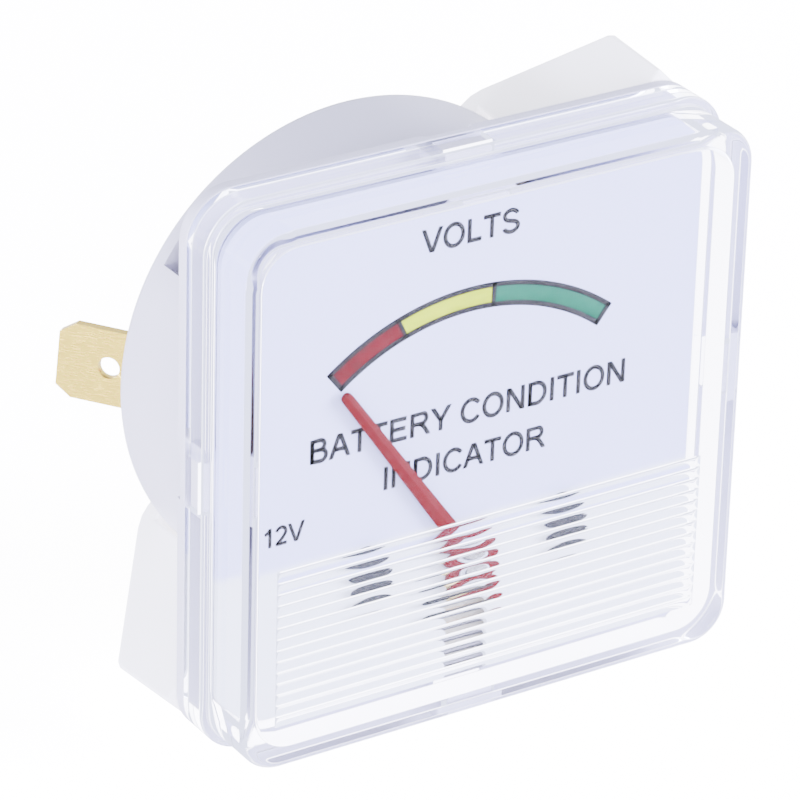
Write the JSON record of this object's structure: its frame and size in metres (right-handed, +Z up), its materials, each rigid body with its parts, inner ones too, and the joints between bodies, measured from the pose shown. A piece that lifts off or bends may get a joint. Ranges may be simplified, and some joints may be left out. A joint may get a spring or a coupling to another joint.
{
  "type": "panel battery condition meter",
  "caption": "Square analogue panel meter for the condition of a 12 V battery, with a red pointer under a clear cover, a round barrel, blade terminals and a rear clamp.",
  "frame": {"origin": "on the barrel's axis, in the plane of the flange's rear face, which rests on the panel", "axes": "+X to the right and +Z up as seen from the front, +Y from the front of the meter through the panel to the rear"},
  "size_m": [0.0486, 0.0341, 0.0486],
  "materials": {
    "clear_polystyrene": "clear moulded polystyrene, polished faces and edges",
    "white_abs": "white moulded ABS, semi-gloss",
    "dial_white": "white dial with a printed scale, matt",
    "black_steel": "black oxide steel, satin",
    "pointer_red": "red moulded polystyrene, satin",
    "light_nylon": "pale natural nylon",
    "dark_steel": "hardened steel pivot, polished",
    "balance_black": "blackened phosphor-bronze wire and weight",
    "soft_iron": "nickel-iron sheet, annealed",
    "bearing_brass": "turned brass",
    "spring_bronze": "phosphor-bronze strip",
    "strip_brass": "stamped brass strip",
    "grey_nylon": "light grey glass-filled nylon",
    "bobbin_nylon": "natural nylon",
    "enamelled_copper": "enamelled copper winding",
    "tinned_wire": "tinned copper pins",
    "resistor_tan": "lacquered resistor body with tinned leads",
    "diode_glass": "orange glass diode body with tinned leads",
    "wire_red": "red PVC insulated wire",
    "wire_black": "black PVC insulated wire",
    "terminal_brass": "stamped brass, bright",
    "plated_steel": "zinc-plated steel",
    "clamp_white": "white moulded nylon, semi-gloss",
    "nut_brass": "turned and knurled brass"
  },
  "bodies": {
    "case": {"front_cover": "clear_polystyrene", "case_body": "white_abs", "dial_plate": "dial_white", "dial_screws": "black_steel", "spring_stud": "bearing_brass", "front_bridge": "strip_brass", "front_bearing": "bearing_brass", "rear_bearing": "bearing_brass", "movement_chassis": "grey_nylon", "coil_bobbin": "bobbin_nylon", "coil_winding": "enamelled_copper", "coil_pins": "tinned_wire", "fixed_vane": "soft_iron", "series_resistor": "resistor_tan", "zener_diode": "diode_glass", "coil_lead_a": "wire_red", "coil_lead_b": "wire_black", "terminal_positive": "terminal_brass", "terminal_negative": "terminal_brass", "clamp_stud": "plated_steel"},
    "hand": {"pointer": "pointer_red", "pointer_bush": "light_nylon", "pivot_staff": "dark_steel", "balance_arm": "balance_black", "balance_weight": "balance_black", "moving_vane": "soft_iron", "spring_collet": "bearing_brass", "hairspring": "spring_bronze"},
    "clamp_washer_body": {"clamp_washer": "plated_steel"},
    "clamp_body": {"mounting_clamp": "clamp_white"},
    "nut_body": {"clamp_nut": "nut_brass"}
  },
  "joints": [
    {"name": "pointer_swing", "type": "hinge", "parent": "case", "child": "hand", "pos_m": [0, -0.0046, -0.01065], "axis": [0, 1, 0], "range_deg": [0, 72], "deforming": ["hairspring"]},
    {"name": "clamp_slide", "type": "slide", "parent": "case", "child": "clamp_washer_body", "axis": [0, 1, 0], "range_m": [0, 0.0035]},
    {"name": "clamp_swivel", "type": "hinge", "parent": "clamp_washer_body", "child": "clamp_body", "pos_m": [0, 0.0154, 0], "axis": [0, 1, 0], "range_deg": [-110, 18]},
    {"name": "nut_turn", "type": "hinge", "parent": "clamp_washer_body", "child": "nut_body", "pos_m": [0, 0.0188, 0], "axis": [0, 1, 0], "range_deg": [0, 1801]}
  ],
  "couplings": [
    {"joint": "nut_turn", "follows": "clamp_slide", "rad_per_m": 8976}
  ]
}
